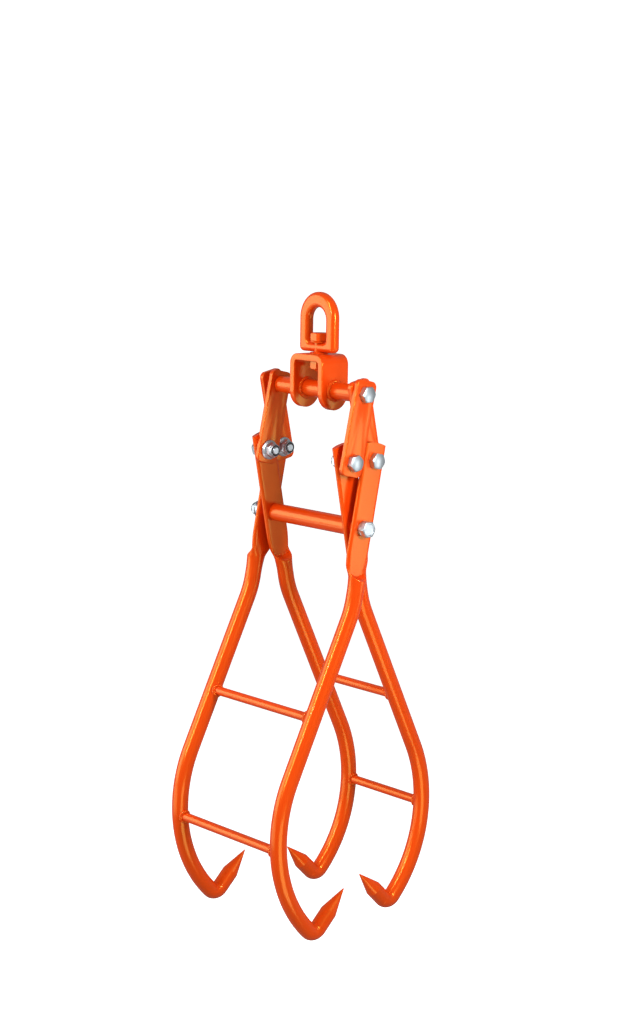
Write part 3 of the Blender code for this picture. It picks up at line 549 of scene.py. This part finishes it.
def bead(points, centre, radius=WELD_RADIUS, pitch=WELD_RIPPLE_PITCH):
    """A closed run of weld along the points, with a ripple at every pitch."""
    points = [Vector(p) for p in points]
    count = len(points)
    spans = [(points[(i + 1) % count] - points[i]).length for i in range(count)]
    ripples = max(6, round(sum(spans) / pitch))
    pitch = sum(spans) / ripples
    rings = []
    run = 0.0
    for i in range(count + 1):
        here = points[i % count]
        along = (points[(i + 1) % count] - points[i - 1 if i < count else i - 1 - count]).normalized()
        out = here - Vector(centre)
        out = (out - along * out.dot(along)).normalized()
        side = along.cross(out)
        swell = radius * (0.86 + 0.22 * abs(math.sin(math.pi * run / pitch)))
        turn = [math.tau * k / 12 for k in range(12)]
        rings.append([here + (out * math.cos(a) + side * math.sin(a)) * swell for a in turn])
        run += spans[i % count]
    rings.pop()
    rings.append(rings[0])
    return loft(rings, capped=False)


def smooth_step(value):
    """0 to 1 with a level start and end."""
    value = min(1.0, max(0.0, value))
    return value * value * (3 - 2 * value)


CLAW_RUNS = (
    (NECK_STRAIGHT, None, 0.0, 0),
    (NECK_BEND_RADIUS * math.radians(NECK_BEND_ANGLE), NECK_BEND_RADIUS, -1.0, 8),
    (SHANK_STRAIGHT, None, 0.0, 2),
    (BELLY_RADIUS * math.radians(BELLY_ANGLE), BELLY_RADIUS, 1.0, 40),
    (HOOK_RADIUS * math.radians(HOOK_ANGLE), HOOK_RADIUS, 1.0, 14),
)
CLAW_LENGTH = sum(run[0] for run in CLAW_RUNS)


def station_at(distance):
    """Position and heading of the claw's centre line at one arc length below the centre pivot."""
    x, z, heading = 0.0, 0.0, 0.0
    for length, radius, turn, _ in CLAW_RUNS:
        step = min(distance, length)
        if radius is None:
            x += math.sin(heading) * step
            z -= math.cos(heading) * step
        else:
            after = heading + turn * step / radius
            x += turn * radius * (math.cos(heading) - math.cos(after))
            z += turn * radius * (math.sin(heading) - math.sin(after))
            heading = after
        distance -= step
        if distance <= 0:
            break
    return x, z, heading


def claw_marks():
    """Arc lengths at which the claw has a ring."""
    marks = [-PIVOT_PITCH - PLATE_END_LENGTH, -PIVOT_PITCH / 2, 0.0, PLATE_TAPER_START]
    begin = SHOULDER_START - SHOULDER_CRESCENT
    end = SHOULDER_START + SHOULDER_LENGTH
    marks += [PLATE_TAPER_START + (begin - PLATE_TAPER_START) * k / 7 for k in range(1, 7)]
    marks += [begin + (end - begin) * k / 26 for k in range(27)]
    marks += [end + (PLATE_TAPER_END - end) * k / 6 for k in range(1, 7)]
    start = 0.0
    for length, _, _, steps in CLAW_RUNS:
        first = 1 if start == 0.0 else 0
        marks += [start + length * k / max(steps, 1) for k in range(first, steps + 1)]
        start += length
    marks.append(start)
    kept = []
    for mark in sorted(marks):
        if not kept or mark - kept[-1] > 0.0002:
            kept.append(mark)
    return kept


def head_section(distance, angle, plate_offset):
    """Across and depth of one point of the claw's section, pressed flat above the shoulder."""
    half_width = TUBE_RADIUS + (PLATE_WIDTH / 2 - TUBE_RADIUS) * (
        1 - smooth_step((distance - PLATE_TAPER_START) / (PLATE_TAPER_END - PLATE_TAPER_START))
    )
    half_depth = PLATE_THICKNESS / 2
    fold = PLATE_EDGE_SHARE
    mirrored = math.copysign(1.0, math.cos(angle))
    lean = math.atan2(math.sin(angle), abs(math.cos(angle)))
    if abs(lean) <= fold + 1e-6:
        round_angle = lean / fold * math.pi / 2
        across = mirrored * (half_width - half_depth + half_depth * math.cos(round_angle))
        depth = half_depth * math.sin(round_angle)
    else:
        flat_share = (math.pi / 2 - abs(lean)) / (math.pi / 2 - fold)
        across = mirrored * (half_width - half_depth) * flat_share
        depth = math.copysign(half_depth, lean)
    depth -= plate_offset
    ledge = (1 + math.sin(angle)) / 2
    ramp = SHOULDER_LENGTH * (1 + 2 * (1 - ledge))
    start = SHOULDER_START - SHOULDER_CRESCENT * math.cos(angle) ** 2 - (ramp - SHOULDER_LENGTH)
    tube_share = smooth_step((distance - start) / ramp)
    across += (half_width * math.cos(angle) - across) * tube_share
    depth += (TUBE_RADIUS * math.sin(angle) - depth) * tube_share
    return across, depth


def claw_mesh(bulge, ledge_side, plate_offset):
    """The pressed head, the bent tube and the hook bend. Bulge is -1 where the claw bulges to -x."""
    angles = [math.tau * i / 48 for i in range(48)]
    rings = []
    for mark in claw_marks():
        if mark < 0:
            x, z, heading = 0.0, -mark, 0.0
        else:
            x, z, heading = station_at(mark)
        crown = PLATE_END_BULGE if mark < -PIVOT_PITCH else 0.0
        points = []
        for angle in angles:
            across, depth = head_section(mark, angle, plate_offset)
            lift = crown * (1 - (2 * across / PLATE_WIDTH) ** 2)
            px = x + across * math.cos(heading)
            pz = z + across * math.sin(heading) + lift
            points.append((-bulge * px, ledge_side * depth, pz))
        rings.append(points)
    return loft(rings)


def claw_matrix(bulge, y=0.0):
    """From a claw's own frame, with the centre pivot at its origin, to the row frame at rest."""
    return Matrix.Translation((0, y, CENTRE_Z)) @ Matrix.Rotation(-bulge * CLAW_ANGLE, 4, "Y")


def make_claws():
    """The four claws with their points and press marks, and the rungs of both frames."""
    layouts = {
        "left": (-1, OUTER_PLATE_DEPTH + TUBE_RADIUS, TUBE_RADIUS - PLATE_THICKNESS / 2, 1),
        "right": (
            1,
            OUTER_PLATE_DEPTH - 2 * LAYER_PITCH + PLATE_THICKNESS + INNER_TUBE_PROUD - TUBE_RADIUS,
            TUBE_RADIUS - PLATE_THICKNESS / 2 - INNER_TUBE_PROUD,
            -1,
        ),
    }
    for label, (bulge, depth, offset, ledge) in layouts.items():
        body = f"{label}_claws"
        for end, side in (("front", FRONT), ("back", BACK)):
            tube_y = FRAME_MIDDLE_Y + side * depth
            drills = []
            head = Vector((-bulge * CLAW_PIVOT_X, tube_y, CLAW_PIVOT_Z))
            for pivot in (head, Vector((0, tube_y, CENTRE_Z))):
                cutter = drill(HOLE_RADIUS, 40)
                centre = claw_matrix(bulge, tube_y).inverted() @ pivot
                cutter.transform(Matrix.Translation(centre) @ Matrix.Rotation(math.pi / 2, 4, "X"))
                drills.append(cutter)
            claw = carved(claw_mesh(bulge, side * ledge, offset), drills)
            name = f"claw_{label}_{end}"
            piece(f"{name}_tube", claw, claw_matrix(bulge, tube_y), body, "orange", name)
            make_point(label, end, bulge, tube_y, body)
            make_shoulder_marks(label, end, bulge, tube_y, side * ledge, offset, body)
        stations = {"upper": UPPER_RUNG_STATION, "lower": LOWER_RUNG_STATIONS[label]}
        for height, station in stations.items():
            make_rung(label, height, station, bulge, depth, body)


def make_point(label, end, bulge, tube_y, body):
    """The turned point and the dressed weld where it joins the hook."""
    x, z, heading = station_at(CLAW_LENGTH)
    gap = 0.0003
    x += math.sin(heading) * gap
    z -= math.cos(heading) * gap
    trim = 0.0008
    tip = POINT_LENGTH + 0.0003
    profile = [(0.0, tip), (POINT_TIP_RADIUS * 0.6, tip)]
    profile += [(POINT_TIP_RADIUS, POINT_LENGTH), (TUBE_RADIUS, POINT_LENGTH - POINT_CONE_LENGTH)]
    profile += [(TUBE_RADIUS, trim), (TUBE_RADIUS - trim, 0.0), (0.0, 0.0)]
    lean = Matrix.Rotation(-bulge * (math.pi - heading), 4, "Y")
    place = claw_matrix(bulge, tube_y) @ Matrix.Translation((-bulge * x, 0, z)) @ lean
    name = f"point_{label}_{end}"
    piece(f"{name}_turned", spun(profile, 64, smooth_angle=12.0), place, body, "orange", name)
    seam_radius = TUBE_RADIUS * POINT_WELD_DEPTH
    seam_height = -0.0002
    turn = [math.tau * k / 120 for k in range(120)]
    run = [(seam_radius * math.cos(a), seam_radius * math.sin(a), seam_height) for a in turn]
    seam = bead(run, (0, 0, seam_height), POINT_WELD_RADIUS, POINT_WELD_PITCH)
    piece(f"{name}_weld", seam, place, body, "orange")


def make_shoulder_marks(label, end, bulge, tube_y, ledge_side, offset, body):
    """The row of small ridges that the press leaves along the crescent of each inner claw."""
    if label == "left":
        return
    bm = bmesh.new()
    for k in range(7):
        angle = math.radians(90 + (k - 3) * PRESS_MARK_STEP)
        mark = SHOULDER_START - SHOULDER_CRESCENT * math.cos(angle) ** 2 + 0.0005
        across, depth = head_section(mark, angle, offset)
        lift = Matrix.Translation((-bulge * across, ledge_side * (depth + 0.0002), -mark))
        shape = Matrix.Diagonal((*PRESS_MARK_SIZE, 1.0))
        bmesh.ops.create_uvsphere(bm, u_segments=12, v_segments=8, radius=1.0, matrix=lift @ shape)
    ridges = shaped(bm, 60)
    piece(f"press_marks_{label}_{end}", ridges, claw_matrix(bulge, tube_y), body, "orange")


def make_rung(label, height, station, bulge, depth, body):
    """A round rung between two tubes, with a rippled weld round both ends."""
    x, z, heading = station_at(station)
    reach = depth - TUBE_RADIUS * 0.75
    bar = spun([(0.0, reach), (RUNG_RADIUS, reach), (RUNG_RADIUS, -reach), (0.0, -reach)], 40)
    upright = Matrix.Rotation(math.pi / 2, 4, "X")
    place = claw_matrix(bulge, FRAME_MIDDLE_Y) @ Matrix.Translation((-bulge * x, 0, z))
    name = f"rung_{label}_{height}"
    piece(f"{name}_bar", bar, place @ upright, body, "orange", name)
    along = Vector((-bulge * math.sin(heading), 0, -math.cos(heading)))
    across = Vector((math.cos(heading), 0, -bulge * math.sin(heading)))
    stand_off = RUNG_RADIUS + 0.0009
    proud_radius = TUBE_RADIUS + 0.0006
    for end, side in (("front", FRONT), ("back", BACK)):
        run = []
        for k in range(140):
            angle = math.tau * k / 140
            wide = stand_off * math.sin(angle)
            saddle = depth - math.sqrt(proud_radius**2 - wide**2)
            point = along * (stand_off * math.cos(angle)) + across * wide
            run.append((point.x, side * saddle, point.z))
        centre = (0, side * (depth - TUBE_RADIUS), 0)
        piece(f"{name}_weld_{end}", bead(run, centre), place, body, "orange")


def make_links():
    """The four flat links, with holes at both pivots."""
    trim = EDGE_ROUND
    outline = rounded_box(
        -LINK_WIDTH / 2 + trim,
        LINK_WIDTH / 2 - trim,
        -PIVOT_PITCH - LINK_END_LENGTH + trim,
        LINK_END_LENGTH - trim,
        LINK_CORNER_RADIUS - trim,
        LINK_CORNER_RADIUS - trim,
    )
    holes = [arc((0, y), HOLE_RADIUS + trim, 360, 0, 40)[:-1] for y in (0.0, -PIVOT_PITCH)]
    for hand, body in ((-1, "left_links"), (1, "right_links")):
        for end in ("front", "back"):
            name = f"link_{body.removesuffix('_links')}_{end}"
            low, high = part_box(name)
            place = Matrix.Translation((0, (low.y + high.y) / 2, CROSSBAR_Z))
            place = place @ Matrix.Rotation(-hand * CLOSED_ANGLE, 4, "Y")
            place = place @ Matrix.Rotation(math.pi / 2, 4, "X")
            plate = flat_plate([outline, *holes], LINK_THICKNESS, trim)
            piece(f"{name}_plate", plate, place, body, "orange", name)


def clevis_stations():
    """Y, Z, heading and width along the clevis bar, from one leg end to the other."""
    half = CLEVIS_OUTER_WIDTH / 2 - CLEVIS_THICKNESS / 2
    bend = CLEVIS_BEND_RADIUS - CLEVIS_THICKNESS / 2
    end_radius = CLEVIS_WIDTH / 2
    leg = []
    for k in range(25):
        drop = end_radius * math.cos(math.pi / 2 * k / 24)
        width = 2 * end_radius * math.sin(math.pi / 2 * k / 24)
        leg.append((half, CLEVIS_END_Z - drop, 90.0, max(width, 0.002)))
    top = CLEVIS_TOP_Z - CLEVIS_THICKNESS / 2
    for k in range(9):
        angle = 90 * k / 8
        y = half - bend + bend * math.cos(math.radians(angle))
        leg.append((y, top - bend + bend * math.sin(math.radians(angle)), 90 + angle, CLEVIS_WIDTH))
    return leg + [(-y, z, 360 - heading, width) for y, z, heading, width in reversed(leg)]


def make_clevis():
    """The U bent from flat bar with round leg ends, and the welded crossbar."""
    rings = []
    for y, z, heading, width in clevis_stations():
        corner = min(EDGE_ROUND, width / 2 * 0.9)
        section = rounded_box(
            -width / 2, width / 2, -CLEVIS_THICKNESS / 2, CLEVIS_THICKNESS / 2, corner, corner, 4
        )
        normal_y = math.sin(math.radians(heading))
        normal_z = -math.cos(math.radians(heading))
        rings.append([(a, y + b * normal_y, z + b * normal_z) for a, b in section])
    piece("clevis_bar", loft(rings), Matrix.Identity(4), "clevis_assembly", "orange", "clevis")
    low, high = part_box("crossbar")
    trim = 0.0006
    profile = [(0.0, high.y), (CROSSBAR_RADIUS - trim, high.y), (CROSSBAR_RADIUS, high.y - trim)]
    profile += [(CROSSBAR_RADIUS, low.y + trim), (CROSSBAR_RADIUS - trim, low.y), (0.0, low.y)]
    place = Matrix.Translation((0, 0, CROSSBAR_Z)) @ Matrix.Rotation(-math.pi / 2, 4, "X")
    piece("crossbar_round", spun(profile), place, "clevis_assembly", "orange", "crossbar")
    outer = CLEVIS_OUTER_WIDTH / 2
    inner = outer - CLEVIS_THICKNESS
    proud = 0.0006
    for label, y in (("outer", outer + proud), ("inner", inner - proud)):
        for end, side in (("front", FRONT), ("back", BACK)):
            turn = [math.tau * k / 180 for k in range(180)]
            radius = CROSSBAR_RADIUS + 0.0008
            run = [(radius * math.cos(a), side * y, CROSSBAR_Z + radius * math.sin(a)) for a in turn]
            weld = bead(run, (0, side * y, CROSSBAR_Z), CLEVIS_WELD_RADIUS, CLEVIS_WELD_PITCH)
            piece(f"crossbar_weld_{label}_{end}", weld, Matrix.Identity(4), "clevis_assembly", "orange")


def make_eye():
    """The forged eye, round all over, with a flat base."""
    trim = EYE_EDGE_ROUND
    outer = EYE_WIDTH / 2
    inner = outer - EYE_BAR_WIDTH
    steps = 24
    foot = EYE_BOTTOM_Z + trim
    crown = EYE_CROWN_THICKNESS - trim
    foot_corner = 0.001
    outline = rounded_box(trim - outer, outer - trim, foot, crown, foot_corner, outer - trim, steps)
    floor = EYE_FLOOR_Z - trim
    low_corner = EYE_INNER_CORNER + trim
    opening = rounded_box(-inner - trim, inner + trim, floor, trim, low_corner, inner + trim, steps)
    mesh = flat_plate([outline, opening[::-1]], EYE_DEPTH, trim, 8)
    turn = Matrix.Rotation(math.pi / 2, 4, "Z") @ Matrix.Rotation(math.pi / 2, 4, "X")
    piece("forged_eye", mesh, turn, "eye", "orange", "swivel_eye")


def stand(node, away):
    """Puts a mesh that stands on its origin along Z into the CAD node's box, rising towards away in Y."""
    low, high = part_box(node)
    middle = (low + high) / 2
    seat = low.y if away > 0 else high.y
    return Matrix.Translation((middle.x, seat, middle.z)) @ Matrix.Rotation(-away * math.pi / 2, 4, "X")


def bolt_mesh(length, radius, across, head_height, dished=False):
    """A hexagon bolt that stands on its shank's tapered end."""
    neck = length - head_height / 2
    profile = [(0.0, neck), (radius, neck), (radius, THREAD_TAPER)]
    profile += [(radius - 0.0016, 0.0004), (radius - 0.0020, 0.0), (0.0, 0.0)]
    parts = [spun(profile, 40), hexagon(across, length - head_height, length)]
    if dished:
        dish = spun([(0.0, 0.003), (across * 0.41, 0.003), (across * 0.38, -0.0009), (0.0, -0.0009)])
        dish.transform(Matrix.Translation((0, 0, length)))
        parts[1] = carved(parts[1], [dish])
    return joined(*parts)


def nut_mesh(height):
    """A flange lock nut that stands on its flange, open at the top for the nylon ring."""
    collar = [
        (HOLE_RADIUS, 0.0),
        (NUT_FLANGE_RADIUS - 0.0004, 0.0),
        (NUT_FLANGE_RADIUS, 0.0004),
        (NUT_FLANGE_RADIUS, 0.0013),
        (NUT_FLANGE_RADIUS - 0.0008, 0.0019),
        (NUT_FLANGE_RADIUS - 0.0040, NUT_FLANGE_HEIGHT),
        (NUT_COLLAR_RADIUS, NUT_FLANGE_HEIGHT + 0.0002),
        (NUT_COLLAR_RADIUS, height - 0.0016),
        (NUT_COLLAR_RADIUS - 0.0004, height - 0.0006),
        (NYLON_RADIUS + 0.0005, height),
        (NYLON_RADIUS + NYLON_CLEARANCE, height),
        (NYLON_RADIUS + NYLON_CLEARANCE, height - NYLON_HEIGHT),
        (HOLE_RADIUS, height - NYLON_HEIGHT),
    ]
    bore = drill(NUT_COLLAR_RADIUS - 0.0006, 64)
    shell = carved(hexagon(NUT_HEX_ACROSS, NUT_FLANGE_HEIGHT * 0.6, NUT_HEX_HEIGHT), [bore])
    return joined(spun(collar, closed=True), shell)


def make_bolts():
    """The zinc bolts of the pivots, each with its flats square to the plate under its head."""
    bolts = {
        "bolt_left_front": FRONT,
        "bolt_left_back": BACK,
        "bolt_right_front": FRONT,
        "bolt_right_back": BACK,
        "crossbar_bolt_front": FRONT,
        "crossbar_bolt_back": BACK,
        "pivot_bolt": FRONT,
    }
    leans = {"bolt_left": 1, "bolt_right": -1}
    for node, away in bolts.items():
        low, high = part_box(node)
        dished = node == "pivot_bolt"
        mesh = bolt_mesh(high.y - low.y, BOLT_RADIUS, BOLT_HEX_ACROSS, BOLT_HEAD_HEIGHT, dished)
        lean = leans.get(node.rsplit("_", 1)[0], 0) * CLOSED_ANGLE
        place = stand(node, away) @ Matrix.Rotation(math.pi / 6 + lean, 4, "Z")
        piece(f"{node}_zinc", mesh, place, body_of[node], "zinc", node, soften=ZINC_SOFTENED)


def make_lock_nuts():
    """The flange lock nuts, each with the nylon ring that its thread bites."""
    nuts = {
        "lock_nut_left_front": BACK,
        "lock_nut_left_back": FRONT,
        "lock_nut_right_front": BACK,
        "lock_nut_right_back": FRONT,
        "lock_nut_pivot": BACK,
    }
    for node, away in nuts.items():
        low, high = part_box(node)
        tall = high.y - low.y
        place = stand(node, away)
        piece(f"{node}_zinc", nut_mesh(tall), place, body_of[node], "zinc", node, soften=NUT_SOFTENED)
        lip = [(BOLT_RADIUS + NYLON_CLEARANCE, tall - NYLON_HEIGHT), (NYLON_RADIUS, tall - NYLON_HEIGHT)]
        lip += [(NYLON_RADIUS, tall - 0.0006), (NYLON_RADIUS - 0.0006, tall), (NYLON_MOUTH_RADIUS, tall)]
        nylon_ring = spun(lip, closed=True)
        piece(f"{node}_insert", nylon_ring, place, body_of[node], "nylon", f"{node}_nylon_ring")


def make_rings():
    """Every washer, spacer, collar and the pivot tube, at the size of its CAD node."""
    for node in frame["nodes"]:
        if "washer" in node or "spacer" in node or "collar" in node or node == "pivot_tube":
            low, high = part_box(node)
            upright = node.startswith("swivel")
            tall = high.z - low.z if upright else high.y - low.y
            hole = SWIVEL_RADIUS + 0.0003 if upright else HOLE_RADIUS
            mesh = ring((high.x - low.x) / 2, hole, 0.0, tall)
            place = Matrix.Translation((0, 0, low.z)) if upright else stand(node, BACK)
            piece(f"{node}_turned", mesh, place, body_of[node], slots[node], node)


def make_swivel():
    """The painted bolt and nut that join the eye and the clevis."""
    low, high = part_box("swivel_bolt")
    bolt = bolt_mesh(high.z - low.z, SWIVEL_RADIUS, SWIVEL_HEX_ACROSS, SWIVEL_HEAD_HEIGHT)
    place = Matrix.Translation((0, 0, low.z))
    body = "clevis_assembly"
    piece("swivel_bolt_painted", bolt, place, body, "orange", "swivel_bolt", soften=PAINT_SOFTENED)
    low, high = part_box("swivel_nut")
    nut = hexagon(SWIVEL_HEX_ACROSS, 0.0, high.z - low.z)
    place = Matrix.Translation((0, 0, high.z)) @ Matrix.Rotation(math.pi, 4, "X")
    piece("swivel_nut_painted", nut, place, body, "orange", "swivel_nut", soften=PAINT_SOFTENED)


body_of = {node: body for body, nodes in record["behaviour"]["bodies"].items() for node in nodes}
slots = {entry["node"]: entry["material_slot"] for entry in record["subparts"]}
bpy.context.scene.view_settings.view_transform = "Standard"
make_camera()
make_studio()
make_lights()
finishes = {"orange": powder_coat(), "zinc": zinc_plate(), "nylon": nylon()}
for node, obj in frame["nodes"].items():
    for material_slot in obj.material_slots:
        material_slot.material = finishes[slots[node]]
make_eye()
make_clevis()
make_links()
make_claws()
make_bolts()
make_lock_nuts()
make_rings()
make_swivel()
